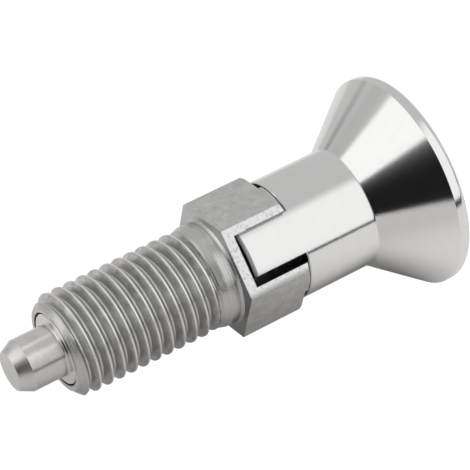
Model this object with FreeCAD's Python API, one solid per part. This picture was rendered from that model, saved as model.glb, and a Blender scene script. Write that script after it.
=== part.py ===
"""Indexing plunger with a pull knob and a parked position, M12x1.5, pin 6 mm.

A threaded sleeve with a hexagon head carries a spring-loaded index pin. The pin's stem runs back
through the sleeve into a turned knob. Two lugs on the knob stand in the hexagon's deep slots, so
the pin points out. Pulled back and given a quarter turn, they rest in the shallow notches across
two corners, and the pin stays in.

Frame: millimetres, +X along the pin's axis from its tip to the knob, +Z up, origin on the axis
at the hexagon's seating face. A flat of the hexagon faces straight up.
"""
import FreeCAD
import Part
import math
import os

# Threaded sleeve. The thread's crests are a plain cylinder here.
THREAD_CREST_DIA = 11.8
SLEEVE_LENGTH = 20.0
NOSE_CHAMFER = 1.0
SEAT_BEVEL = 0.25
BORE_DIA = 8.5
BORE_MOUTH_CHAMFER = 0.08
CHAMBER_END = -1.4

# Hexagon head
HEX_ACROSS_FLATS = 13.8
HEX_LENGTH = 8.0
HEX_CHAMFER_DIA = 13.9
HEX_CHAMFER_ANGLE = 30.0
SLOT_DIRECTION = 150.0
SLOT_WIDTH = 6.1
SLOT_FLOOR = 1.2
NOTCH_DEPTH = 0.4

# Index pin, one turned piece: tip, guide collar and stem
PIN_DIA = 6.0
PIN_REACH = 5.5
PIN_TAPER_LENGTH = 1.5
PIN_FACE_DIA = 4.5
COLLAR_CLEARANCE = 0.1
COLLAR_LENGTH = 5.0
COLLAR_FRONT_CHAMFER = 0.12
COLLAR_REAR_CHAMFER = 0.3
STEM_DIA = 4.5
STEM_CLEARANCE = 0.05
STEM_GRIP = 10.4
STEM_END_CHAMFER = 0.4

# Spring
WIRE_DIA = 0.7
SPRING_MEAN_DIA = 6.4
WIRE_SIDES = 6
ACTIVE_TURNS = 5
CLOSED_TURNS = 1
CLOSED_TURN_RISE = 0.8
SPRING_SEAT_GAP = 0.02

# Knob, one turned piece with two milled lugs
NECK_DIA = 14.0
NECK_LENGTH = 9.05
NECK_END_CHAMFER = 0.15
NECK_SEAT_GAP = 0.1
CONE_FILLET = 0.3
CONE_LENGTH = 7.1
RIM_DIA = 25.0
RIM_LAND = 0.55
RIM_ROUND = 0.95
LUG_WIDTH = 5.0
LUG_END_GAP = 0.4
LUG_END_CHAMFER = 0.3
LUG_CORNER_ROUND = 0.3
LUG_WALL_GAP = 0.12
STEM_BORE_SPARE = 0.4

# Places along the axis that more than one piece uses
NOSE = -SLEEVE_LENGTH
COLLAR_REAR = NOSE + COLLAR_LENGTH
LUG_END = SLOT_FLOOR + LUG_END_GAP
NECK_END = HEX_LENGTH + NECK_SEAT_GAP
CONE_START = NECK_END + NECK_LENGTH
CONE_END = CONE_START + CONE_LENGTH
KNOB_BACK = CONE_END + RIM_LAND + RIM_ROUND
STEM_END = LUG_END + STEM_GRIP

# Radii and lengths that one piece takes from another
COLLAR_RADIUS = BORE_DIA / 2 - COLLAR_CLEARANCE
STEM_HOLE_RADIUS = STEM_DIA / 2 + STEM_CLEARANCE
HEX_CORNER_RADIUS = HEX_ACROSS_FLATS / math.sqrt(3)
BEYOND = HEX_CORNER_RADIUS + 1.0

AXIS = FreeCAD.Vector(1, 0, 0)
ORIGIN = FreeCAD.Vector(0, 0, 0)


def at(x, radius):
    """A point of a turning profile: its place along the axis and its radius."""
    return FreeCAD.Vector(x, radius, 0)


def lines(points):
    """Straight edges through these points, one after the other."""
    return [Part.makeLine(a, b) for a, b in zip(points, points[1:])]


def arc(start, middle, end):
    """A circular edge through three points."""
    return Part.Arc(start, middle, end).toShape()


def turned(edges):
    """A solid turned about the plunger's axis from the edges of a closed profile."""
    face = Part.Face(Part.Wire(Part.__sortEdges__(edges)))
    return face.revolve(ORIGIN, AXIS, 360)


def turned_polygon(points):
    """A solid turned from a profile of straight edges only."""
    return turned(lines(points + points[:1]))


def channel(width, start, end, direction):
    """A straight milled channel right across the head, open along the given direction."""
    cutter = Part.makeBox(end - start, 2 * BEYOND, width, FreeCAD.Vector(start, -BEYOND, -width / 2))
    cutter.rotate(ORIGIN, AXIS, direction)
    return cutter


def on_arc(centre, radius, angle):
    """The point of an arc about this centre, at this angle in degrees from the axis."""
    turn = math.radians(angle)
    return at(centre.x + radius * math.cos(turn), centre.y + radius * math.sin(turn))


def make_guide_body():
    """The sleeve and its hexagon head in one piece, bored from the nose for the pin and spring."""
    crest = THREAD_CREST_DIA / 2
    bore = BORE_DIA / 2
    shank = turned_polygon([
        at(0, STEM_HOLE_RADIUS),
        at(CHAMBER_END, STEM_HOLE_RADIUS),
        at(CHAMBER_END, bore),
        at(NOSE + BORE_MOUTH_CHAMFER, bore),
        at(NOSE, bore + BORE_MOUTH_CHAMFER),
        at(NOSE, crest - NOSE_CHAMFER),
        at(NOSE + NOSE_CHAMFER, crest),
        at(-SEAT_BEVEL, crest),
        at(0, crest + SEAT_BEVEL),
    ])

    corners = [
        FreeCAD.Vector(
            0,
            HEX_CORNER_RADIUS * math.cos(math.radians(60 * corner)),
            HEX_CORNER_RADIUS * math.sin(math.radians(60 * corner)),
        )
        for corner in range(7)
    ]
    hexagon = Part.Face(Part.makePolygon(corners)).extrude(AXIS * HEX_LENGTH)
    chamfer_radius = HEX_CHAMFER_DIA / 2
    chamfer_drop = (BEYOND - chamfer_radius) * math.tan(math.radians(HEX_CHAMFER_ANGLE))
    chamfered_bar = turned_polygon([
        at(0, STEM_HOLE_RADIUS),
        at(0, BEYOND),
        at(HEX_LENGTH - chamfer_drop, BEYOND),
        at(HEX_LENGTH, chamfer_radius),
        at(HEX_LENGTH, STEM_HOLE_RADIUS),
    ])
    head = hexagon.common(chamfered_bar)
    head = head.cut(channel(SLOT_WIDTH, SLOT_FLOOR, HEX_LENGTH + 1, SLOT_DIRECTION))
    head = head.cut(channel(SLOT_WIDTH, HEX_LENGTH - NOTCH_DEPTH, HEX_LENGTH + 1, SLOT_DIRECTION - 90))
    return shank.fuse(head).removeSplitter()


def make_index_pin():
    """The pin with its tapered tip, the collar that slides in the bore, and the stem."""
    pin = PIN_DIA / 2
    stem = STEM_DIA / 2
    tip = NOSE - PIN_REACH
    return turned_polygon([
        at(tip, 0),
        at(tip, PIN_FACE_DIA / 2),
        at(tip + PIN_TAPER_LENGTH, pin),
        at(NOSE, pin),
        at(NOSE, COLLAR_RADIUS - COLLAR_FRONT_CHAMFER),
        at(NOSE + COLLAR_FRONT_CHAMFER, COLLAR_RADIUS),
        at(COLLAR_REAR - COLLAR_REAR_CHAMFER, COLLAR_RADIUS),
        at(COLLAR_REAR, COLLAR_RADIUS - COLLAR_REAR_CHAMFER),
        at(COLLAR_REAR, stem),
        at(STEM_END - STEM_END_CHAMFER, stem),
        at(STEM_END, stem - STEM_END_CHAMFER),
        at(STEM_END, 0),
    ])


def spring_point(turn):
    """The centre of the wire after this many turns. The end turns lie close together."""
    start = COLLAR_REAR + SPRING_SEAT_GAP + WIRE_DIA / 2
    end = CHAMBER_END - SPRING_SEAT_GAP - WIRE_DIA / 2
    closed = min(turn, CLOSED_TURNS) + max(turn - CLOSED_TURNS - ACTIVE_TURNS, 0)
    active = min(max(turn - CLOSED_TURNS, 0), ACTIVE_TURNS)
    pitch = (end - start - 2 * CLOSED_TURNS * CLOSED_TURN_RISE) / ACTIVE_TURNS
    angle = 2 * math.pi * turn
    return FreeCAD.Vector(
        start + closed * CLOSED_TURN_RISE + active * pitch,
        SPRING_MEAN_DIA / 2 * math.cos(angle),
        SPRING_MEAN_DIA / 2 * math.sin(angle),
    )


def make_spring():
    """A compression spring between the collar and the chamber's end, with closed ends.

    The sleeve hides it, so its wire has a section with a few flat sides.
    """
    turns = ACTIVE_TURNS + 2 * CLOSED_TURNS
    steps_per_turn = 8
    path = Part.BSplineCurve()
    path.interpolate([spring_point(step / steps_per_turn) for step in range(turns * steps_per_turn + 1)])
    first = spring_point(0)
    section = Part.makePolygon([
        first + on_arc(ORIGIN, WIRE_DIA / 2, 360 * (side + 0.5) / WIRE_SIDES)
        for side in range(WIRE_SIDES + 1)
    ])
    sweep = Part.BRepOffsetAPI.MakePipeShell(Part.Wire(path.toShape()))
    sweep.setFrenetMode(True)
    sweep.add(section, False, False)
    sweep.build()
    sweep.makeSolid()
    return sweep.shape()


def rest_turn():
    """How far the knob is turned back at rest, in degrees, until its lugs lie against the slot walls."""
    neck = NECK_DIA / 2
    wall = SLOT_WIDTH / 2 - LUG_WALL_GAP
    return math.degrees(math.asin(wall / neck) - math.asin(LUG_WIDTH / 2 / neck))


def make_knob():
    """The conical pull knob: neck, cone, rounded rim, and the two lugs with the stem's blind bore."""
    neck = NECK_DIA / 2
    rim = RIM_DIA / 2
    cone_angle = math.atan2(rim - neck, CONE_LENGTH)
    reach = CONE_FILLET * math.tan(cone_angle / 2)
    fillet_start = at(CONE_START - reach, neck)
    fillet_end = at(CONE_START + reach * math.cos(cone_angle), neck + reach * math.sin(cone_angle))
    fillet_centre = at(CONE_START - reach, neck + CONE_FILLET)
    fillet_middle = on_arc(fillet_centre, CONE_FILLET, math.degrees(cone_angle / 2) - 90)
    round_centre = at(KNOB_BACK - RIM_ROUND, rim - RIM_ROUND)
    round_start = on_arc(round_centre, RIM_ROUND, 90)
    round_end = on_arc(round_centre, RIM_ROUND, 0)
    outline = lines([
        round_end,
        at(KNOB_BACK, 0),
        at(NECK_END, 0),
        at(NECK_END, neck - NECK_END_CHAMFER),
        at(NECK_END + NECK_END_CHAMFER, neck),
        fillet_start,
    ])
    outline.append(arc(fillet_start, fillet_middle, fillet_end))
    outline += lines([fillet_end, at(CONE_END, rim), round_start])
    outline.append(arc(round_start, on_arc(round_centre, RIM_ROUND, 45), round_end))
    knob = turned(outline)

    lug_blank = turned_polygon([
        at(LUG_END, 0),
        at(LUG_END, neck - LUG_END_CHAMFER),
        at(LUG_END + LUG_END_CHAMFER, neck),
        at(NECK_END + 2 * NECK_END_CHAMFER, neck),
        at(NECK_END + 2 * NECK_END_CHAMFER, 0),
    ])
    lug_direction = SLOT_DIRECTION - rest_turn()
    lug_bar = channel(LUG_WIDTH, LUG_END, NECK_END + 1, lug_direction)
    end_edges = [
        edge for edge in lug_bar.Edges
        if edge.BoundBox.XMax < LUG_END + 0.01 and edge.Length > 1.01 * LUG_WIDTH
    ]
    lugs = lug_blank.common(lug_bar.makeFillet(LUG_CORNER_ROUND, end_edges))
    knob = knob.fuse(lugs)
    bore_length = STEM_GRIP + STEM_BORE_SPARE
    bore = Part.makeCylinder(STEM_DIA / 2, bore_length, at(LUG_END, 0), AXIS)
    return knob.cut(bore).removeSplitter()


os.makedirs("parts", exist_ok=True)
PIECES = {
    "guide_body": make_guide_body(),
    "index_pin": make_index_pin(),
    "spring": make_spring(),
    "pull_knob": make_knob(),
}
for name, piece in PIECES.items():
    piece.exportStep("parts/" + name + ".step")
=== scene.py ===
"""Looks of an indexing plunger: threaded sleeve with a hexagon, index pin, spring and pull knob.

Sizes are in millimetres and are turned into metres where a mesh is made. +X runs from the pin's tip
to the knob, +Z is up, and the origin is on the axis at the hexagon's seating face.
"""
from __future__ import annotations

import logging
import math
from collections.abc import Callable, Mapping, Sequence
from dataclasses import dataclass
from enum import Enum

import bmesh
import bpy
from mathutils import Matrix, Vector

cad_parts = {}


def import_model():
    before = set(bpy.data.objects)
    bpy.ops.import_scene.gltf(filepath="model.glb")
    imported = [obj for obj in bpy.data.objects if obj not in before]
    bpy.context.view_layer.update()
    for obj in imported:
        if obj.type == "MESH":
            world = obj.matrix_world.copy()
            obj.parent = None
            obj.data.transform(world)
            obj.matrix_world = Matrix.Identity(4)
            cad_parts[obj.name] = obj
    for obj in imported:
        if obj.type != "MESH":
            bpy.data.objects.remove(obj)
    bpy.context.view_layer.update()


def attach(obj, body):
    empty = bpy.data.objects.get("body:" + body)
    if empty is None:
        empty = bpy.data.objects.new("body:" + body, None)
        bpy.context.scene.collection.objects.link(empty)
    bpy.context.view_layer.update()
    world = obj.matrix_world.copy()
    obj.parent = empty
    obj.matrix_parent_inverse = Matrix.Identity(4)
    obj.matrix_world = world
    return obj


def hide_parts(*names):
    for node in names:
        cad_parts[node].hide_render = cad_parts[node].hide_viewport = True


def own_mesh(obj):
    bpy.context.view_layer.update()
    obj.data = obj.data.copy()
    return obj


LOG = logging.getLogger("indexing_plunger")
MM = 0.001
NOSE = -20.0
SHARP_ANGLE = math.radians(34.0)
BEVEL_ANGLE = math.radians(25.0)
BROKEN_EDGE = 0.05
LARGEST_SHARE = 0.49

Colour = tuple[float, float, float, float]
Corner = tuple[float, float, float]
Face = tuple[int, ...]
Point = tuple[float, float]
Span = tuple[float, float]


class Finish(Enum):
    """The record's material slots."""

    SATIN = "satin_steel"
    GROUND = "ground_steel"
    SPRING = "spring_steel"
    POLISHED = "polished_steel"


class Body(Enum):
    """The bodies that the joints move."""

    SLEEVE = "sleeve"
    COIL = "coil"
    PLUNGER = "plunger"


class Cut(Enum):
    """How one solid acts on another."""

    JOIN = "UNION"
    REMOVE = "DIFFERENCE"
    KEEP_COMMON = "INTERSECT"


# Shader graphs


def _operator(operation: str, swapped: bool = False) -> Callable[..., Signal]:
    """Makes one of a Signal's operators, which adds a Math node.

    Args:
        operation: The node's operation.
        swapped: Whether the other value comes first.

    Returns:
        The operator's method.
    """

    def method(self: Signal, other: Signal | float) -> Signal:
        """The Math node's result."""
        inputs = dict(enumerate((other, self) if swapped else (self, other)))
        node = self.graph.node("ShaderNodeMath", {"operation": operation}, inputs)
        return self.graph.signal(node)

    return method


class Signal:
    """A number that changes over a surface, used in plain arithmetic."""

    def __init__(self, graph: Graph, socket: bpy.types.NodeSocket) -> None:
        """Wraps an output socket of a graph."""
        self.graph = graph
        self.socket = socket

    __add__ = _operator("ADD")
    __radd__ = _operator("ADD", swapped=True)
    __sub__ = _operator("SUBTRACT")
    __rsub__ = _operator("SUBTRACT", swapped=True)
    __mul__ = _operator("MULTIPLY")
    __rmul__ = _operator("MULTIPLY", swapped=True)
    __truediv__ = _operator("DIVIDE")
    __pow__ = _operator("POWER")

    def __abs__(self) -> Signal:
        """abs(self)."""
        return (self * self) ** 0.5

    def ramp(self, low: float, high: float) -> Signal:
        """A smooth step of this value, 0 at low and 1 at high.

        Args:
            low: Value that gives 0.
            high: Value that gives 1.

        Returns:
            The step, from 0 to 1.
        """
        node = self.graph.node(
            "ShaderNodeMapRange",
            {"interpolation_type": "SMOOTHSTEP"},
            {"Value": self, "From Min": low, "From Max": high},
        )
        return self.graph.signal(node)


Value = Signal | float | Sequence[float]


class Graph:
    """The node tree of one material or of the world."""

    def __init__(self, tree: bpy.types.NodeTree) -> None:
        """Empties the tree and takes it over."""
        self.tree = tree
        self.tree.nodes.clear()

    def node(
        self,
        kind: str,
        settings: Mapping[str, object] | None = None,
        inputs: Mapping[str | int, Value] | None = None,
    ) -> bpy.types.Node:
        """Adds one node.

        Args:
            kind: The node's type.
            settings: Its properties, set first.
            inputs: Values or links of its sockets, by name or number.

        Returns:
            The new node.
        """
        made = self.tree.nodes.new(kind)
        for name, value in (settings or {}).items():
            setattr(made, name, value)
        for name, value in (inputs or {}).items():
            if isinstance(value, Signal):
                self.tree.links.new(value.socket, made.inputs[name])
            else:
                made.inputs[name].default_value = value
        return made

    def signal(self, node: bpy.types.Node, output: str | int = 0) -> Signal:
        """One output of a node, ready for arithmetic."""
        return Signal(self, node.outputs[output])

    def noise(self, position: Signal, scale: float, detail: float) -> Signal:
        """Noise about 0.5, with so many cells to a unit and so many finer layers."""
        inputs = {"Vector": position, "Scale": scale, "Detail": detail}
        return self.signal(self.node("ShaderNodeTexNoise", None, inputs), "Fac")

    def point(self, x: Value, y: Value, z: Value) -> Signal:
        """A position from three numbers."""
        return self.signal(self.node("ShaderNodeCombineXYZ", None, {"X": x, "Y": y, "Z": z}))

    def mixed(self, share: Value, low: Value, high: Value) -> Signal:
        """A colour between two others, low where the share is 0 and high where it is 1."""
        node = self.node("ShaderNodeMix", {"data_type": "RGBA"}, {0: share, 6: low, 7: high})
        return self.signal(node, 2)

    def axes(self, space: str) -> tuple[Signal, Signal, Signal]:
        """The shading point's coordinates.

        Args:
            space: The Texture Coordinate node's output that they are read from.

        Returns:
            X, Y and Z.
        """
        place = self.signal(self.node("ShaderNodeTexCoord"), space)
        parts = self.node("ShaderNodeSeparateXYZ", None, {"Vector": place})
        return self.signal(parts, "X"), self.signal(parts, "Y"), self.signal(parts, "Z")

    def ray(self, kind: str) -> Signal:
        """1 where the Light Path node says that a ray is of this kind."""
        return self.signal(self.node("ShaderNodeLightPath"), kind)

    def blended(self, share: Signal, low: bpy.types.Node, high: bpy.types.Node) -> bpy.types.Node:
        """A Mix Shader node between two shaders."""
        inputs = {0: share, 1: self.signal(low), 2: self.signal(high)}
        return self.node("ShaderNodeMixShader", None, inputs)

    def show(self, shader: bpy.types.Node, output: str = "ShaderNodeOutputMaterial") -> None:
        """Adds the output node and links a shader to it."""
        self.node(output, None, {"Surface": self.signal(shader)})


def new_material(name: str) -> tuple[bpy.types.Material, Graph]:
    """Makes a material without any nodes.

    Args:
        name: The material's name.

    Returns:
        The material and its graph.
    """
    made = bpy.data.materials.new(name)
    made.use_nodes = True
    return made, Graph(made.node_tree)


@dataclass(frozen=True)
class Place:
    """Where a shading point is on the plunger, in millimetres."""

    graph: Graph
    x: Signal
    y: Signal
    z: Signal
    radius: Signal

    def across(self, direction: float) -> Signal:
        """How far the point is to the side of a direction, in degrees round the axis."""
        turn = math.radians(direction)
        return self.z * math.cos(turn) - self.y * math.sin(turn)

    def along(self, direction: float) -> Signal:
        """How far out the point is in a direction, in degrees round the axis."""
        turn = math.radians(direction)
        return self.y * math.cos(turn) + self.z * math.sin(turn)

    def streaks(self, lengthwise: float, sideways: float, detail: float) -> Signal:
        """Noise about 0.5, with so many cells to a millimetre along the axis and across it."""
        spot = self.graph.point(self.x * lengthwise, self.y * sideways, self.z * sideways)
        return self.graph.noise(spot, 1.0, detail)

    def turning_lines(self, per_mm: float, facing: float = 1.37, waver: float = 1.6) -> Signal:
        """The fine grooves that a lathe leaves round the axis, on cylinders, cones and faces.

        Args:
            per_mm: How many grooves there are to a millimetre along the axis.
            facing: How many times as many there are outwards on a face.
            waver: How fast a groove changes on its way round.

        Returns:
            The grooves' height, about 0.5.
        """
        along = (self.x + self.radius * facing) * per_mm
        y, z = (side / self.radius * waver for side in (self.y, self.z))
        return self.graph.noise(self.graph.point(along, y, z), 1.0, 3.0)


def place_on(graph: Graph) -> Place:
    """Reads the shading point's place from its object coordinates."""
    x, y, z = (axis / MM for axis in graph.axes("Object"))
    return Place(graph, x, y, z, (y * y + z * z) ** 0.5)


def grey(level: float, warmth: float = 0.0) -> Colour:
    """A grey colour, a little warm where warmth is above 0."""
    return (level * (1 + warmth), level, level * (1 - 1.5 * warmth), 1.0)


@dataclass(frozen=True)
class Spot:
    """A shading point of a steel, with the marks and the unevenness that it has there."""

    place: Place
    lines: Signal
    cloud: Signal
    speckle: Signal


@dataclass(frozen=True)
class Steel:
    """Bare stainless steel: a metal shader, its shade, polish and tool marks."""

    name: str
    level: float
    roughness: float
    grooves_per_mm: float
    groove_depth: float
    speckle_depth: float
    shade_spread: float
    roughness_spread: float
    warmth: float = 0.008
    clouds_per_mm: float = 0.9
    speckles_per_mm: float = 9.0

    def tone(self, share: float) -> Colour:
        """The steel's own grey, times a share."""
        return grey(self.level * share, self.warmth)

    def shade(self, spot: Spot) -> Signal:
        """The base colour, uneven with the tool marks and with slow clouds."""
        share = spot.lines * 0.5 + spot.cloud * 0.5
        low, high = self.tone(1 - self.shade_spread), self.tone(1 + self.shade_spread)
        return spot.place.graph.mixed(share.ramp(0.3, 0.7), low, high)

    def marks(self, place: Place) -> Signal:
        """The tool marks' height, about 0.5."""
        return place.turning_lines(self.grooves_per_mm)

    def dullness(self, spot: Spot) -> Signal:
        """The roughness, uneven with the tool marks and with fine speckles."""
        uneven = spot.lines * 0.4 + spot.speckle * 0.6 - 0.5
        return uneven * self.roughness_spread + self.roughness

    def material(self) -> bpy.types.Material:
        """Builds the material with its nodes."""
        made, graph = new_material(self.name)
        place = place_on(graph)
        position = graph.point(place.x, place.y, place.z)
        cloud = graph.noise(position, self.clouds_per_mm, 2.0)
        speckle = graph.noise(position, self.speckles_per_mm, 2.0)
        spot = Spot(place, self.marks(place), cloud, speckle)
        height = spot.lines * self.groove_depth + speckle * self.speckle_depth
        relief = {"Strength": 1.0, "Distance": MM, "Height": height}
        bump = graph.node("ShaderNodeBump", None, relief)
        shader = graph.node("ShaderNodeBsdfPrincipled", None, {
            "Base Color": self.shade(spot),
            "Metallic": 1.0,
            "Roughness": self.dullness(spot),
            "Normal": graph.signal(bump),
        })
        graph.show(shader)
        return made


@dataclass(frozen=True, kw_only=True)
class ThreadSteel(Steel):
    """Turned steel of the thread: painted shade on the lower flanks and in the bore, a painted
    highlight along the roots, and crests lighter from burnish and a painted highlight.
    """

    root_radius: float
    crest_radius: float
    mouth_radius: float
    nose_end: float
    thread_end: float
    nose_gain: float = 2.5
    flank_shade_share: float = 0.86
    root_highlight_share: float = 1.15
    crest_level: float = 0.86
    highlight_and_wear: float = 0.9
    groove_shares: Span = (0.98, 1.22)
    mouth_shade_level: float = 0.04
    bore_shade_share: float = 0.7

    def marks(self, place: Place) -> Signal:
        """The turning grooves' height, with more depth on the nose's face and chamfer."""
        on_nose = 1 - place.x.ramp(self.nose_end - 0.1, self.nose_end + 0.1)
        gain = 1 + (self.nose_gain - 1) * on_nose
        return (super().marks(place) - 0.5) * gain + 0.5

    def shade(self, spot: Spot) -> Signal:
        """The base colour, by how deep in the thread, on the nose or in the bore a point lies, with
        painted shade and painted highlights.
        """
        graph, x, radius = spot.place.graph, spot.place.x, spot.place.radius
        depth = self.crest_radius - self.root_radius
        # Painted shade: the lower flanks, which the next turn shades, are darker.
        upper = radius.ramp(self.root_radius + 0.02 * depth, self.root_radius + 0.6 * depth)
        shade = graph.mixed(upper, self.tone(self.flank_shade_share), super().shade(spot))
        # Painted highlight: a light line along the bottom of each root.
        bottom = 1 - radius.ramp(self.root_radius + 0.01, self.root_radius + 0.05)
        shade = graph.mixed(bottom * self.highlight_and_wear, shade, self.tone(self.root_highlight_share))
        # The crests are lighter, partly from burnish and partly as a painted highlight.
        crest = radius.ramp(self.crest_radius - 0.05, self.crest_radius - 0.015)
        crest *= 1 - radius.ramp(self.crest_radius + 0.01, self.crest_radius + 0.03)
        shade = graph.mixed(crest * self.highlight_and_wear, shade, grey(self.crest_level, self.warmth))
        unthreaded = x.ramp(self.thread_end, self.thread_end + 0.5)
        on_nose = 1 - x.ramp(self.nose_end - 0.05, self.nose_end + 0.05)
        turned_faces = graph.mixed(spot.lines.ramp(0.35, 0.65), *map(self.tone, self.groove_shares))
        shade = graph.mixed((unthreaded + on_nose).ramp(0.0, 0.9), shade, turned_faces)
        # Painted shade in the bore: near black at the mouth's bevel, dimmer steel further in.
        inwards = x.ramp(self.nose_end - 0.85, self.nose_end - 0.5)
        bore = graph.mixed(inwards, grey(self.mouth_shade_level), grey(self.level * self.bore_shade_share))
        opening = radius.ramp(self.mouth_radius - 0.02, self.mouth_radius + 0.02)
        return graph.mixed(opening, bore, shade)


@dataclass(frozen=True, kw_only=True)
class MilledSteel(Steel):
    """Drawn and milled steel of the hexagon, with marks across the flats, a painted highlight on the
    slotted flat with painted shade at its edge, and painted shade on the seat and in the slots.
    """

    flat_distance: float
    seat_radius: float
    slot_direction: float
    slot_width: float
    slot_floor: float
    streaks_across: float = 1.1
    flecks_per_mm: Span = (4.5, 2.6)
    grain_and_highlight_shares: Span = (0.98, 1.27)
    edge: Span = (3.25, 3.98)
    edge_shade_share: float = 0.66
    seat_top: float = 5.5
    seat_shade_shares: Span = (0.42, 0.8)
    wall_shade_levels: Span = (0.22, 0.6)

    def shade(self, spot: Spot) -> Signal:
        """The base colour: flecks and a painted highlight on the slotted flats, painted shade on the
        seat and in the slots.
        """
        graph, place = spot.place.graph, spot.place
        across, along = place.across(self.slot_direction), place.along(self.slot_direction)
        # Slotted flat: milling flecks, lifted above the plain steel as a painted highlight, fading to
        # painted shade at one edge.
        flecks = place.streaks(*self.flecks_per_mm, 1.5).ramp(0.36, 0.5)
        grain_and_highlight = graph.mixed(flecks, *(grey(self.level * share) for share in self.grain_and_highlight_shares))
        edge = grey(self.level * self.edge_shade_share)
        grain_and_highlight = graph.mixed(across.ramp(*self.edge), grain_and_highlight, edge)
        slotted_flat = along.ramp(self.flat_distance - 0.06, self.flat_distance - 0.02)
        shade = graph.mixed(slotted_flat, super().shade(spot), grain_and_highlight)
        # Painted shade on the seat face, darker towards the bottom.
        rise = place.z.ramp(0.0, self.seat_top)
        seating = graph.mixed(rise, *(grey(self.level * share) for share in self.seat_shade_shares))
        seat = 1 - place.x.ramp(0.02, 0.06)
        seat *= place.radius.ramp(self.seat_radius - 0.05, self.seat_radius + 0.05)
        shade = graph.mixed(seat, shade, seating)
        # Painted shade in the slots: dark greys on the walls, one wall darker than the other.
        wall = self.slot_width / 2
        slot = 1 - abs(across).ramp(wall + 0.005, wall + 0.03)
        slot *= place.x.ramp(self.slot_floor - 0.1, self.slot_floor - 0.02)
        upper_wall = 1 - across.ramp(0.1 - wall, 0.2 - wall)
        return graph.mixed(slot, shade, graph.mixed(upper_wall, *map(grey, self.wall_shade_levels)))

    def marks(self, place: Place) -> Signal:
        """The height of short streaks that run across the flats, about 0.5."""
        return place.streaks(self.grooves_per_mm, self.streaks_across, 3.0)


@dataclass(frozen=True, kw_only=True)
class KnobSteel(Steel):
    """Polished steel of the knob, with painted shade where it lies against the hexagon and in its
    slots.
    """

    open_radius: float
    neck_end: float
    lug_end: float
    lug_width: float
    lug_direction: float
    shade_radii: Span = (4.4, 6.0)
    shade_levels: Span = (0.4, 0.08)
    lug_end_dullness: float = 0.4

    def shade(self, spot: Spot) -> Signal:
        """The base colour, with painted shade on the lugs' sides and on the neck's end."""
        graph, x, radius = spot.place.graph, spot.place.x, spot.place.radius
        # Painted shade: the neck's end face and the lugs' sides, where they sit against the hexagon
        # and in its slots, are dark greys.
        across = abs(spot.place.across(self.lug_direction))
        inside = 1 - radius.ramp(self.open_radius, self.open_radius + 0.02)
        front = 1 - x.ramp(self.neck_end + 0.04, self.neck_end + 0.06)
        side = across.ramp(self.lug_width / 2 - 0.03, self.lug_width / 2 - 0.005)
        lug = 1 - x.ramp(self.neck_end - 0.03, self.neck_end)
        beyond = x.ramp(self.lug_end + 0.3, self.lug_end + 0.4)
        inner = 1 - radius.ramp(self.open_radius - 0.3, self.open_radius - 0.2)
        painted_shade_mask = (inside * front * beyond + side * lug * beyond + inner * lug).ramp(0.0, 0.9)
        shadow = graph.mixed(radius.ramp(*self.shade_radii), *map(grey, self.shade_levels))
        return graph.mixed(painted_shade_mask, super().shade(spot), shadow)

    def dullness(self, spot: Spot) -> Signal:
        """The roughness, higher on the lugs' ends, which aren't polished."""
        end = 1 - spot.place.x.ramp(self.lug_end + 0.28, self.lug_end + 0.4)
        return super().dullness(spot) + end * self.lug_end_dullness


@dataclass(frozen=True, kw_only=True)
class PinSteel(Steel):
    """Ground steel of the pin, duller on the turned taper."""

    taper_end: float
    taper_dullness: float = 0.12

    def dullness(self, spot: Spot) -> Signal:
        """The roughness, higher on the tip's taper."""
        taper = 1 - spot.place.x.ramp(self.taper_end - 0.05, self.taper_end)
        return super().dullness(spot) + taper * self.taper_dullness


# Mesh work


def add_object(name: str, data: bpy.types.ID) -> bpy.types.Object:
    """Adds an object to the scene.

    Args:
        name: The object's name.
        data: Its mesh, light or camera.

    Returns:
        The object.
    """
    made = bpy.data.objects.new(name, data)
    bpy.context.scene.collection.objects.link(made)
    return made


def new_object(
    name: str, points: Sequence[Sequence[float]], faces: Sequence[Sequence[int]]
) -> bpy.types.Object:
    """Makes a mesh object from points in millimetres.

    Args:
        name: The object's name.
        points: Vertices in millimetres.
        faces: Vertex numbers of each face.

    Returns:
        The object, linked to the scene.
    """
    mesh = bpy.data.meshes.new(name)
    mesh.from_pydata([[value * MM for value in point] for point in points], [], faces)
    tidy(mesh)
    return add_object(name, mesh)


def tidy(mesh: bpy.types.Mesh) -> None:
    """Merges doubled vertices, drops empty faces and points all faces outwards."""
    work = bmesh.new()
    work.from_mesh(mesh)
    bmesh.ops.remove_doubles(work, verts=work.verts, dist=1e-7)
    bmesh.ops.dissolve_degenerate(work, edges=work.edges, dist=1e-8)
    loose = [edge for edge in work.edges if not edge.link_faces]
    bmesh.ops.delete(work, geom=loose, context="EDGES")
    bmesh.ops.recalc_face_normals(work, faces=work.faces)
    work.to_mesh(mesh)
    work.free()


def rounded(corners: Sequence[Corner], steps: int = 4) -> list[Point]:
    """A profile whose corners are rounded.

    Args:
        corners: Place along the axis, radius from it, and the corner's own rounding.
        steps: Straight pieces in each rounding, which takes less than half of either side.

    Returns:
        The profile's points, as place along the axis and radius.
    """
    made: list[Point] = []
    for index, (x, y, rounding) in enumerate(corners):
        here = Vector((x, y))
        before = Vector(corners[index - 1][:2]) - here
        after = Vector(corners[(index + 1) % len(corners)][:2]) - here
        nearest = min(before.length, after.length)
        if rounding <= 0 or nearest < 1e-9:
            made.append((x, y))
            continue
        half = before.angle(after) / 2
        reach = min(rounding / math.tan(half), LARGEST_SHARE * nearest)
        radius = reach * math.tan(half)
        start = here + before.normalized() * reach
        end = here + after.normalized() * reach
        middle = (before.normalized() + after.normalized()).normalized()
        centre = here + middle * (radius / math.sin(half))
        for step in range(steps + 1):
            share = step / steps
            spoke = (start - centre).normalized().slerp((end - centre).normalized(), share)
            made.append(tuple(centre + spoke * radius))
    return made


def on_ring(x: float, radius: float, angle: float) -> Corner:
    """The point at a radius and an angle round the axis."""
    return (x, radius * math.cos(angle), radius * math.sin(angle))


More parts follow.
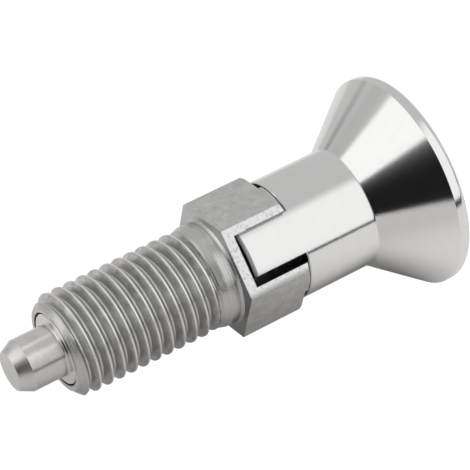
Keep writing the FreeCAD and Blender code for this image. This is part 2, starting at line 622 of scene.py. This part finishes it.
def band(rows: int, columns: int, closed: bool) -> list[Face]:
    """Faces between rings of points that follow each other.

    Args:
        rows: How many rings there are.
        columns: Points in each ring.
        closed: Whether the last ring meets the first.

    Returns:
        The faces, as vertex numbers.
    """
    faces: list[Face] = []
    for row in range(rows if closed else rows - 1):
        low, high = row * columns, (row + 1) % rows * columns
        for column in range(columns):
            beside = (column + 1) % columns
            faces.append((low + column, low + beside, high + beside, high + column))
    return faces


def turned(name: str, profile: Sequence[Point], columns: int) -> bpy.types.Object:
    """Turns a closed profile about the axis.

    Args:
        name: The object's name.
        profile: Place along the axis and radius of each point, in order round the section.
        columns: Points in each ring round the axis.

    Returns:
        The closed solid.
    """
    points = [
        on_ring(x, max(radius, 0), 2 * math.pi * column / columns)
        for x, radius in profile
        for column in range(columns)
    ]
    return new_object(name, points, band(len(profile), columns, True))


def slab(
    name: str, width: float, start: float, end: float, direction: float, rounding: float = 0.0
) -> bpy.types.Object:
    """A straight bar across the axis, such as a milling cutter's path.

    Args:
        name: The object's name.
        width: Its width.
        start: Where it starts along the axis.
        end: Where it ends along the axis.
        direction: The way that it runs, in degrees round the axis.
        rounding: How much the two long edges at its start are rounded.

    Returns:
        The bar.
    """
    half, reach = width / 2, 20.0
    turn = Matrix.Rotation(math.radians(direction), 3, "X")
    section = rounded([
        (start, -half, rounding), (start, half, rounding), (end, half, 0.0), (end, -half, 0.0),
    ])
    points = [
        turn @ Vector((x, along, across)) for along in (-reach, reach) for x, across in section
    ]
    count = len(section)
    faces: list[Face] = [tuple(range(count)), tuple(range(2 * count - 1, count - 1, -1))]
    for corner in range(count):
        beside = (corner + 1) % count
        faces.append((corner, corner + count, beside + count, beside))
    return new_object(name, points, faces)


def apply_modifiers(made: bpy.types.Object) -> None:
    """Makes the object's modifiers part of its mesh."""
    bpy.context.view_layer.update()
    graph = bpy.context.evaluated_depsgraph_get()
    mesh = bpy.data.meshes.new_from_object(made.evaluated_get(graph))
    made.modifiers.clear()
    made.data = mesh


def cut(made: bpy.types.Object, tool: bpy.types.Object, how: Cut) -> None:
    """Cuts or joins a solid with another, which is used up.

    Args:
        made: The solid that is changed.
        tool: The solid that acts on it.
        how: What is kept.
    """
    modifier = made.modifiers.new("cut", "BOOLEAN")
    modifier.object = tool
    modifier.operation = how.value
    modifier.solver = "MANIFOLD"
    modifier.material_mode = "TRANSFER"
    apply_modifiers(made)
    bpy.data.objects.remove(tool)


def break_edges(made: bpy.types.Object) -> None:
    """Rounds the sharp edges a little, as a deburred part's are."""
    modifier = made.modifiers.new("edges", "BEVEL")
    modifier.width = BROKEN_EDGE * MM
    modifier.segments = 3
    modifier.limit_method = "ANGLE"
    modifier.angle_limit = BEVEL_ANGLE
    apply_modifiers(made)


def smooth(made: bpy.types.Object) -> None:
    """Shades an object smoothly, with its sharp edges kept and its large faces true."""
    work = bmesh.new()
    work.from_mesh(made.data)
    for face in work.faces:
        face.smooth = True
    for edge in work.edges:
        edge.smooth = edge.calc_face_angle(math.pi) < SHARP_ANGLE
    work.to_mesh(made.data)
    work.free()
    modifier = made.modifiers.new("normals", "WEIGHTED_NORMAL")
    modifier.keep_sharp = True
    modifier.weight = 90
    apply_modifiers(made)


def dress(made: bpy.types.Object, steel: Steel) -> None:
    """Gives a mesh one steel all over."""
    made.data.materials.clear()
    made.data.materials.append(steel.material())


# Sub-assemblies


@dataclass
class ThreadedSleeve:
    """The M12 sleeve with its hexagon head, slots and notches, in one piece."""

    crest_radius: float = 5.9
    crest_round: float = 0.03
    root_radius: float = 4.98
    root_round: float = 0.09
    pitch: float = 1.5
    crest_width: float = 0.19
    root_width: float = 0.25
    thread_phase: float = 0.35
    nose_chamfer: float = 1.0
    bore_radius: float = 4.25
    mouth_chamfer: float = 0.08
    mouth_round: float = 0.03
    face_radius: float = 4.7
    chamber_end: float = -1.4
    stem_hole_radius: float = 2.3
    collar_radius: float = 6.0
    collar_start: float = -1.5
    collar_slope: float = 0.3
    collar_fillet: float = 0.12
    relief_radius: float = 5.68
    relief_start: float = -3.0
    relief_slope: float = 0.8
    runout_length: float = 0.9
    runout_end: float = -2.3
    seat_bevel: float = 0.25
    across_flats: float = 13.8
    hexagon_length: float = 8.0
    chamfer_radius: float = 6.95
    chamfer_angle: float = 30.0
    slot_direction: float = 150.0
    slot_width: float = 6.1
    slot_floor: float = 1.2
    notch_depth: float = 0.4
    overlap: float = 0.3
    flank_steps: int = 4
    columns: int = 192
    bar_columns: int = 144
    hole_columns: int = 96

    @property
    def seat_radius(self) -> float:
        """Radius of the bevel where it meets the hexagon."""
        return self.collar_radius + self.seat_bevel

    def thread_steel(self) -> ThreadSteel:
        """The turned tube's steel, with the thread's own sizes."""
        return ThreadSteel(
            "turned_thread_steel", level=0.53, roughness=0.24, grooves_per_mm=16.0,
            groove_depth=0.012, speckle_depth=0.016, shade_spread=0.30, roughness_spread=0.20,
            root_radius=self.root_radius, crest_radius=self.crest_radius,
            mouth_radius=self.bore_radius + self.mouth_chamfer + 0.01,
            nose_end=NOSE + self.nose_chamfer, thread_end=self.runout_end - 0.3,
        )

    def flat_steel(self) -> MilledSteel:
        """The milled hexagon's steel, with the hexagon's own sizes."""
        return MilledSteel(
            "milled_hexagon_steel", level=0.64, roughness=0.30, grooves_per_mm=9.0,
            groove_depth=0.012, speckle_depth=0.018, shade_spread=0.14, roughness_spread=0.16,
            flat_distance=self.across_flats / 2, seat_radius=self.seat_radius,
            slot_direction=self.slot_direction, slot_width=self.slot_width,
            slot_floor=self.slot_floor,
        )

    def thread_profile(self) -> list[Point]:
        """One pitch of the thread, from root to root, as place along the axis and radius."""
        flank = (self.pitch - self.crest_width - self.root_width) / 2
        half_root = self.root_width / 2
        corners = [
            (0.0, self.root_radius, 0.0),
            (half_root, self.root_radius, self.root_round),
            (half_root + flank, self.crest_radius, self.crest_round),
            (half_root + flank + self.crest_width, self.crest_radius, self.crest_round),
            (self.pitch - half_root, self.root_radius, self.root_round),
            (self.pitch, self.root_radius, 0.0),
        ]
        inner = [corners[0][:2], *rounded(corners, 3)[1:-1]]
        made: list[Point] = []
        for (x0, r0), (x1, r1) in zip(inner, [*inner[1:], corners[-1][:2]]):
            steps = self.flank_steps if x1 - x0 > flank / 2 else 1
            made += [
                (x0 + (x1 - x0) * step / steps, r0 + (r1 - r0) * step / steps)
                for step in range(steps)
            ]
        return made

    def outer_radius(self, x: float, offset: float, profile: Sequence[Point]) -> float:
        """The sleeve's radius, with the nose's chamfer and the thread's run-out.

        Args:
            x: Place along the axis.
            offset: How far past the middle of a root it is.
            profile: One pitch of the thread.

        Returns:
            The radius.
        """
        thread = self.root_radius
        for (x0, r0), (x1, r1) in zip(profile, [*profile[1:], (self.pitch, self.root_radius)]):
            if x0 <= offset <= x1 and x1 > x0:
                thread = r0 + (r1 - r0) * (offset - x0) / (x1 - x0)
                break
        chamfered = self.crest_radius - self.nose_chamfer + x - NOSE
        share = min(max((self.runout_end - x) / self.runout_length, 0.0), 1.0)
        relief = self.crest_radius - (x - self.relief_start) * self.relief_slope
        collar = self.collar_radius - (self.collar_start - x) * self.collar_slope
        plain = max(min(self.crest_radius, relief), self.relief_radius, collar)
        return min(plain - (self.crest_radius - thread) * share, chamfered)

    def make_sleeve(self) -> bpy.types.Object:
        """Builds the threaded tube as rows that follow the helix, closed by turned rings."""
        profile = self.thread_profile()
        per_pitch = len(profile)
        first = NOSE - (2 - self.thread_phase) * self.pitch
        turns = math.ceil((self.collar_start - first) / self.pitch) + 1
        rows = turns * per_pitch + 1
        inner = rounded([
            (self.collar_start + 0.25, self.collar_radius, 0.0),
            (-self.seat_bevel, self.collar_radius, self.collar_fillet),
            (0.0, self.seat_radius, 0.0),
            (self.overlap, self.seat_radius, 0.0),
            (self.overlap, 0.0, 0.0),
            (self.chamber_end, 0.0, 0.0),
            (self.chamber_end, self.bore_radius, 0.0),
            (NOSE + self.mouth_chamfer, self.bore_radius, self.mouth_round),
            (NOSE, self.bore_radius + self.mouth_chamfer, self.mouth_round),
            (NOSE, self.face_radius, 0.0),
        ], 3)
        points: list[Corner] = []
        for column in range(self.columns):
            share = column / self.columns
            line: list[Point] = []
            for row in range(rows):
                turn, step = divmod(row, per_pitch)
                wanted = first + (turn + share) * self.pitch + profile[step][0]
                x = min(max(wanted, NOSE), self.collar_start)
                offset = (x - first - share * self.pitch) % self.pitch
                line.append((x, self.outer_radius(x, offset, profile)))
            points += [on_ring(x, radius, 2 * math.pi * share) for x, radius in line + inner]
        faces = self.tube_faces(rows, rows + len(inner), per_pitch)
        made = new_object("threaded_sleeve", points, faces)
        dress(made, self.thread_steel())
        return made

    def tube_faces(self, rows: int, total: int, per_pitch: int) -> list[Face]:
        """Faces between the columns; the last one meets the first a pitch further on.

        Args:
            rows: How many rows follow the helix.
            total: All rows, with those of the rings.
            per_pitch: Rows to one pitch.

        Returns:
            The faces, as vertex numbers.
        """
        faces: list[Face] = []
        for column in range(self.columns):
            low, high = column * total, (column + 1) % self.columns * total
            meets = list(range(total))
            if column + 1 == self.columns:
                meets[:rows] = [min(row + per_pitch, rows - 1) for row in range(rows)]
            for row in range(total):
                below = (row + 1) % total
                faces.append((low + row, low + below, high + meets[below], high + meets[row]))
        return faces

    def make_head(self) -> bpy.types.Object:
        """Builds the hexagon with its chamfered corners, deep slots and shallow notches."""
        corner = self.across_flats / math.sqrt(3)
        beyond = corner + 2
        rings = [
            on_ring(x, corner, math.radians(60 * side))
            for x in (0.0, self.hexagon_length)
            for side in range(6)
        ]
        faces = [tuple(range(6)), tuple(range(11, 5, -1))]
        faces += [(side, side + 6, (side + 1) % 6 + 6, (side + 1) % 6) for side in range(6)]
        made = new_object("hexagon_head", rings, faces)
        drop = (beyond - self.chamfer_radius) * math.tan(math.radians(self.chamfer_angle))
        bar = turned("chamfered_bar", [
            (-1.0, 0.0),
            (-1.0, beyond),
            (self.hexagon_length - drop, beyond),
            (self.hexagon_length, self.chamfer_radius),
            (self.hexagon_length, 0.0),
        ], self.bar_columns)
        cut(made, bar, Cut.KEEP_COMMON)
        end = self.hexagon_length + 1
        slot = slab("slot", self.slot_width, self.slot_floor, end, self.slot_direction)
        cut(made, slot, Cut.REMOVE)
        floor = self.hexagon_length - self.notch_depth
        notch = slab("notch", self.slot_width, floor, end, self.slot_direction - 90)
        cut(made, notch, Cut.REMOVE)
        break_edges(made)
        dress(made, self.flat_steel())
        return made

    def build(self) -> bpy.types.Object:
        """Builds the whole piece in place of its CAD solid."""
        made = self.make_head()
        cut(made, self.make_sleeve(), Cut.JOIN)
        start, end, radius = self.chamber_end - 0.5, self.hexagon_length + 1, self.stem_hole_radius
        section = [(start, 0.0), (start, radius), (end, radius), (end, 0.0)]
        stem_hole = turned("stem_hole", section, self.hole_columns)
        cut(made, stem_hole, Cut.REMOVE)
        smooth(made)
        made.name = "threaded_sleeve_with_hexagon"
        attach(made, Body.SLEEVE.value)
        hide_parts("guide_body")
        return made


@dataclass
class IndexPin:
    """The turned pin: tapered tip, guide collar and stem."""

    tip: float = -25.5
    face_radius: float = 2.25
    face_round: float = 0.16
    taper_length: float = 1.5
    taper_round: float = 0.08
    radius: float = 3.0
    root_fillet: float = 0.2
    collar_radius: float = 4.15
    collar_length: float = 5.0
    front_chamfer: float = 0.12
    rear_chamfer: float = 0.3
    stem_radius: float = 2.25
    stem_end: float = 12.0
    stem_chamfer: float = 0.4
    columns: int = 180

    def steel(self) -> PinSteel:
        """The steel all over the pin, with the taper's own place."""
        return PinSteel(
            "ground_pin_steel", level=0.72, roughness=0.22, grooves_per_mm=20.0,
            groove_depth=0.0042, speckle_depth=0.004, shade_spread=0.07, roughness_spread=0.10,
            warmth=0.012, taper_end=self.tip + self.taper_length,
        )

    def build(self) -> bpy.types.Object:
        """Builds the pin in place of its CAD solid."""
        rear = NOSE + self.collar_length
        profile = rounded([
            (self.tip, 0.0, 0.0),
            (self.tip, self.face_radius, self.face_round),
            (self.tip + self.taper_length, self.radius, self.taper_round),
            (NOSE, self.radius, self.root_fillet),
            (NOSE, self.collar_radius - self.front_chamfer, 0.08),
            (NOSE + self.front_chamfer, self.collar_radius, 0.03),
            (rear - self.rear_chamfer, self.collar_radius, BROKEN_EDGE),
            (rear, self.collar_radius - self.rear_chamfer, BROKEN_EDGE),
            (rear, self.stem_radius, BROKEN_EDGE),
            (self.stem_end - self.stem_chamfer, self.stem_radius, BROKEN_EDGE),
            (self.stem_end, self.stem_radius - self.stem_chamfer, BROKEN_EDGE),
            (self.stem_end, 0.0, 0.0),
        ])
        made = turned("index_pin_turned", profile, self.columns)
        dress(made, self.steel())
        smooth(made)
        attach(made, Body.PLUNGER.value)
        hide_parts("index_pin")
        return made


@dataclass
class ReturnSpring:
    """The round-wire compression spring inside the sleeve."""

    start: float = -14.63
    end: float = -1.77
    mean_radius: float = 3.2
    wire_radius: float = 0.35
    active_turns: int = 5
    closed_turns: int = 1
    closed_rise: float = 0.8
    fixed_end: float = -1.4
    shortest: float = 0.515
    sides: int = 14
    steps_per_turn: int = 48
    steel: Steel = Steel(
        "drawn_spring_steel", level=0.52, roughness=0.22, grooves_per_mm=6.0,
        groove_depth=0.003, speckle_depth=0.003, shade_spread=0.06, roughness_spread=0.08,
    )

    def centre(self, turn: float) -> Vector:
        """The wire's centre in millimetres, so many turns from the spring's front end."""
        closed = min(turn, self.closed_turns)
        closed += max(turn - self.closed_turns - self.active_turns, 0)
        active = min(max(turn - self.closed_turns, 0), self.active_turns)
        free = self.end - self.start - 2 * self.closed_turns * self.closed_rise
        x = self.start + closed * self.closed_rise + active * free / self.active_turns
        return Vector(on_ring(x, self.mean_radius, 2 * math.pi * turn))

    def build(self) -> bpy.types.Object:
        """Builds the spring as a wire swept along its helix."""
        count = (self.active_turns + 2 * self.closed_turns) * self.steps_per_turn
        ahead = 0.01
        points: list[Vector] = []
        for step in range(count + 1):
            turn = step / self.steps_per_turn
            here = self.centre(turn)
            forward = (self.centre(turn + ahead) - self.centre(turn - ahead)).normalized()
            outward = Vector((0.0, here.y, here.z)).normalized()
            across = forward.cross(outward).normalized()
            for side in range(self.sides):
                angle = 2 * math.pi * side / self.sides
                spoke = outward * math.cos(angle) + across * math.sin(angle)
                points.append(here + spoke * self.wire_radius)
        faces = band(count + 1, self.sides, False)
        last = count * self.sides
        faces.append(tuple(range(self.sides)))
        faces.append(tuple(range(last + self.sides - 1, last - 1, -1)))
        made = new_object("compression_spring", points, faces)
        dress(made, self.steel)
        smooth(made)
        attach(made, Body.COIL.value)
        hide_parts("spring")
        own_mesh(made)
        return made


@dataclass
class PullKnob:
    """The polished conical knob with its neck and two lugs."""

    neck_radius: float = 7.0
    neck_end: float = 8.1
    neck_chamfer: float = 0.15
    cone_start: float = 17.15
    cone_fillet: float = 0.3
    cone_end: float = 24.25
    rim_radius: float = 12.5
    rim_edge: float = 0.06
    rim_land: float = 0.55
    rim_round: float = 0.95
    lug_end: float = 1.6
    lug_width: float = 5.0
    lug_chamfer: float = 0.3
    lug_edge: float = 0.22
    lug_corner_round: float = 0.3
    lug_direction: float = 146.18
    stem_bore_radius: float = 2.25
    stem_bore_length: float = 10.8
    columns: int = 320

    def steel(self) -> KnobSteel:
        """The steel all over the knob, with the knob's own sizes."""
        return KnobSteel(
            "polished_knob_steel", level=0.80, roughness=0.105, grooves_per_mm=20.0,
            groove_depth=0.0008, speckle_depth=0.004, shade_spread=0.015, roughness_spread=0.03,
            warmth=0.004, open_radius=self.neck_radius - 0.12, neck_end=self.neck_end,
            lug_end=self.lug_end, lug_width=self.lug_width, lug_direction=self.lug_direction,
        )

    def make_blank(self) -> bpy.types.Object:
        """Turns the knob with its neck run forward to the lugs' ends."""
        back = self.cone_end + self.rim_land + self.rim_round
        bore_end = self.lug_end + self.stem_bore_length
        return turned("knob_turned", rounded([
            (bore_end, 0.0, 0.0),
            (bore_end, self.stem_bore_radius, 0.0),
            (self.lug_end, self.stem_bore_radius, 0.0),
            (self.lug_end, self.neck_radius - self.lug_chamfer, self.lug_edge),
            (self.lug_end + self.lug_chamfer, self.neck_radius, self.lug_edge),
            (self.cone_start, self.neck_radius, self.cone_fillet),
            (self.cone_end, self.rim_radius, self.rim_edge),
            (back, self.rim_radius, self.rim_round),
            (back, 0.0, 0.0),
        ], 6), self.columns)

    def make_lug_clearance(self) -> bpy.types.Object:
        """Makes the stuff that is milled away beside the lugs, up to the neck's end."""
        beyond = self.neck_radius + 2
        flare = beyond - self.neck_radius + self.neck_chamfer
        made = turned("lug_clearance", [
            (self.lug_end - 2, 0.0),
            (self.lug_end - 2, beyond),
            (self.neck_end + flare, beyond),
            (self.neck_end, self.neck_radius - self.neck_chamfer),
            (self.neck_end, 0.0),
        ], self.columns)
        lugs = slab(
            "lugs", self.lug_width, self.lug_end - 0.001, self.neck_end + 5,
            self.lug_direction, self.lug_corner_round,
        )
        cut(made, lugs, Cut.REMOVE)
        return made

    def build(self) -> bpy.types.Object:
        """Builds the knob in place of its CAD solid."""
        made = self.make_blank()
        cut(made, self.make_lug_clearance(), Cut.REMOVE)
        made.name = "polished_pull_knob"
        dress(made, self.steel())
        smooth(made)
        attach(made, Body.PLUNGER.value)
        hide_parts("pull_knob")
        return made


# Studio


@dataclass(frozen=True)
class Panel:
    """A flat panel that faces the plunger from some way off: a soft light or a dark card."""

    name: str
    azimuth: float
    elevation: float
    half_width: float
    half_height: float
    strength: float
    soft_sides: float
    soft_bottom: float
    soft_top: float
    distance: float = 0.6
    falloff: float = 1.0

    def reach(self, half_angle: float) -> float:
        """Half the panel's width or height in millimetres, from half the angle that it fills."""
        return self.distance * math.tan(math.radians(half_angle)) / MM

    def build(self) -> None:
        """Builds the panel. Cameras don't see it, and its brightness fades towards its edges."""
        width, height = self.reach(self.half_width), self.reach(self.half_height)
        corners = [(-width, -height, 0), (width, -height, 0), (width, height, 0), (-width, height, 0)]
        made = new_object(self.name, corners, [(0, 1, 2, 3)])
        azimuth, elevation = math.radians(self.azimuth), math.radians(self.elevation)
        outward = Vector((
            math.cos(azimuth) * math.cos(elevation),
            math.sin(azimuth) * math.cos(elevation),
            math.sin(elevation),
        ))
        made.location = outward * self.distance
        made.rotation_mode = "QUATERNION"
        made.rotation_quaternion = outward.to_track_quat("Z", "Y")
        made.visible_camera = False
        made.visible_shadow = False
        made.data.materials.append(self.material())

    def material(self) -> bpy.types.Material:
        """The panel's glow, clear at its edges."""
        made, graph = new_material(self.name)
        x, y, _ = graph.axes("Object")
        across = x / (self.reach(self.half_width) * MM)
        up = y / (self.reach(self.half_height) * MM)
        fade_x = (1 - abs(across)).ramp(0.0, self.soft_sides)
        fade_y = (up + 1).ramp(0.0, self.soft_bottom) * (1 - up).ramp(0.0, self.soft_top)
        cover = 1 - (1 - fade_x * fade_y) ** self.falloff
        light = {"Color": grey(1.0), "Strength": self.strength}
        glow = graph.node("ShaderNodeEmission", None, light)
        graph.show(graph.blended(cover, graph.node("ShaderNodeBsdfTransparent"), glow))
        return made


@dataclass
class Studio:
    """A pale table, a grey room, soft light panels and a dark side, and the camera."""

    floor_height: float = -12.55
    floor_front: float = -63.5
    floor_slant: float = 0.17
    floor_back: float = 900.0
    floor_side: float = 700.0
    floor_grey: float = 0.6
    floor_warmth: float = 0.008
    floor_white: float = 1.08
    camera_share: float = 0.93
    # Grey and share of the painted glow that metal mirrors on the table.
    pool_glow_grey: float = 0.95
    pool_glow_share: float = 0.55
    room_grey: float = 0.61
    low_grey: float = 0.04
    panels: tuple[Panel, ...] = (
        Panel("front_soft_light", -50.0, 28.0, 26.0, 38.0, 1.06, 0.16, 0.05, 0.42),
        Panel("top_soft_light", 172.0, 47.0, 28.9, 18.0, 1.16, 0.2, 0.2, 0.3),
        Panel("left_soft_light", 170.0, 17.0, 21.0, 16.5, 1.16, 0.2, 0.3, 0.05, 0.62),
        Panel("dark_side", -140.0, 10.5, 34.0, 45.0, 0.01, 0.6, 0.3, 0.95, 0.55, 2.2),
        Panel("overhead_light", 34.0, 76.0, 12.0, 6.0, 1.1, 0.5, 0.5, 0.5, 0.56),
        Panel("back_wall", 121.0, 30.0, 15.0, 16.0, 0.54, 0.4, 0.4, 0.4, 0.58),
        Panel("back_shade", 102.0, 14.0, 6.5, 12.0, 0.3, 0.9, 0.9, 0.9, 0.55),
    )
    lamp_place: Corner = (150.0, -60.0, 420.0)
    lamp_size: float = 0.3
    lamp_power: float = 0.8
    camera_place: Corner = (-92.14, -200.84, 140.11)
    camera_right: Corner = (0.83589, -0.51928, -0.17784)
    camera_up: Corner = (0.40913, 0.37343, 0.83257)
    camera_forward: Corner = (0.36593, 0.76869, -0.52461)
    focal_length: float = 183.83

    def build(self) -> None:
        """Builds the floor, the room, the panels and the camera."""
        self.make_floor()
        self.make_room()
        for panel in self.panels:
            panel.build()
        self.make_table_lamp()
        self.make_camera()

    def make_floor(self) -> None:
        """A pale table top that ends a little way in front of the plunger.

        Metal mirrors a painted pool of light on it, a glow in front of the knob and behind the
        plunger, and to the camera it is white.
        """
        z, side = self.floor_height, self.floor_side
        slant = side * self.floor_slant
        made = new_object("floor", [
            (-side, self.floor_front - slant, z),
            (side, self.floor_front + slant, z),
            (side, self.floor_back, z),
            (-side, self.floor_back, z),
        ], [(0, 1, 2, 3)])
        material, graph = new_material("pale_floor")
        x, y = (axis / MM for axis in graph.axes("Object")[:2])
        # Painted light: a glow that only reflections see, in front of the knob and behind the
        # plunger.
        painted_light_pool = x.ramp(2.0, 22.0) * (1 - y.ramp(-12.0, 0.0)) + y.ramp(14.0, 34.0)
        pale = {"Color": grey(self.floor_grey, self.floor_warmth)}
        even = {"Color": grey(self.pool_glow_grey, self.floor_warmth)}
        white = {"Color": grey(1.0), "Strength": self.floor_white}
        table = graph.blended(
            graph.ray("Is Glossy Ray") * painted_light_pool * self.pool_glow_share,
            graph.node("ShaderNodeBsdfDiffuse", None, pale),
            graph.node("ShaderNodeEmission", None, even),
        )
        graph.show(graph.blended(
            graph.ray("Is Camera Ray") * self.camera_share,
            table,
            graph.node("ShaderNodeEmission", None, white),
        ))
        made.data.materials.append(material)

    def make_room(self) -> None:
        """The world: an even grey room above the table, dark below it, white to the camera."""
        world = bpy.data.worlds.new("room")
        bpy.context.scene.world = world
        world.use_nodes = True
        graph = Graph(world.node_tree)
        above = graph.axes("Generated")[2].ramp(-0.06, -0.02)
        room = graph.mixed(above, grey(self.low_grey), grey(self.room_grey))
        colour = graph.mixed(graph.ray("Is Camera Ray"), room, grey(1.0))
        back = graph.node("ShaderNodeBackground", None, {"Color": colour, "Strength": 1.0})
        graph.show(back, "ShaderNodeOutputWorld")

    def make_table_lamp(self) -> None:
        """A soft lamp above the knob, which brightens the table and isn't mirrored by metal."""
        data = bpy.data.lights.new("table_lamp", "AREA")
        data.size = self.lamp_size
        data.energy = self.lamp_power
        made = add_object("table_lamp", data)
        made.location = Vector(self.lamp_place) * MM
        made.visible_glossy = False

    def make_camera(self) -> None:
        """The camera at the photograph's place and angle."""
        data = bpy.data.cameras.new("camera")
        data.sensor_width = 36.0
        data.lens = self.focal_length
        data.clip_start, data.clip_end = 0.01, 10.0
        made = add_object("camera", data)
        right, up = Vector(self.camera_right), Vector(self.camera_up)
        back = -Vector(self.camera_forward)
        turn = Matrix((right, up, back)).transposed().to_4x4()
        made.matrix_world = Matrix.Translation(Vector(self.camera_place) * MM) @ turn
        bpy.context.scene.camera = made


def main() -> None:
    """Builds every piece and the studio, and reports each piece."""
    logging.basicConfig(level=logging.INFO, format="%(name)s: %(message)s")
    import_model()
    for maker in (ThreadedSleeve(), IndexPin(), ReturnSpring(), PullKnob()):
        piece = maker.build()
        LOG.info("%s has %d faces", piece.name, len(piece.data.polygons))
    Studio().build()
    bpy.context.scene.view_settings.view_transform = "Standard"


if __name__ == "__main__":
    main()
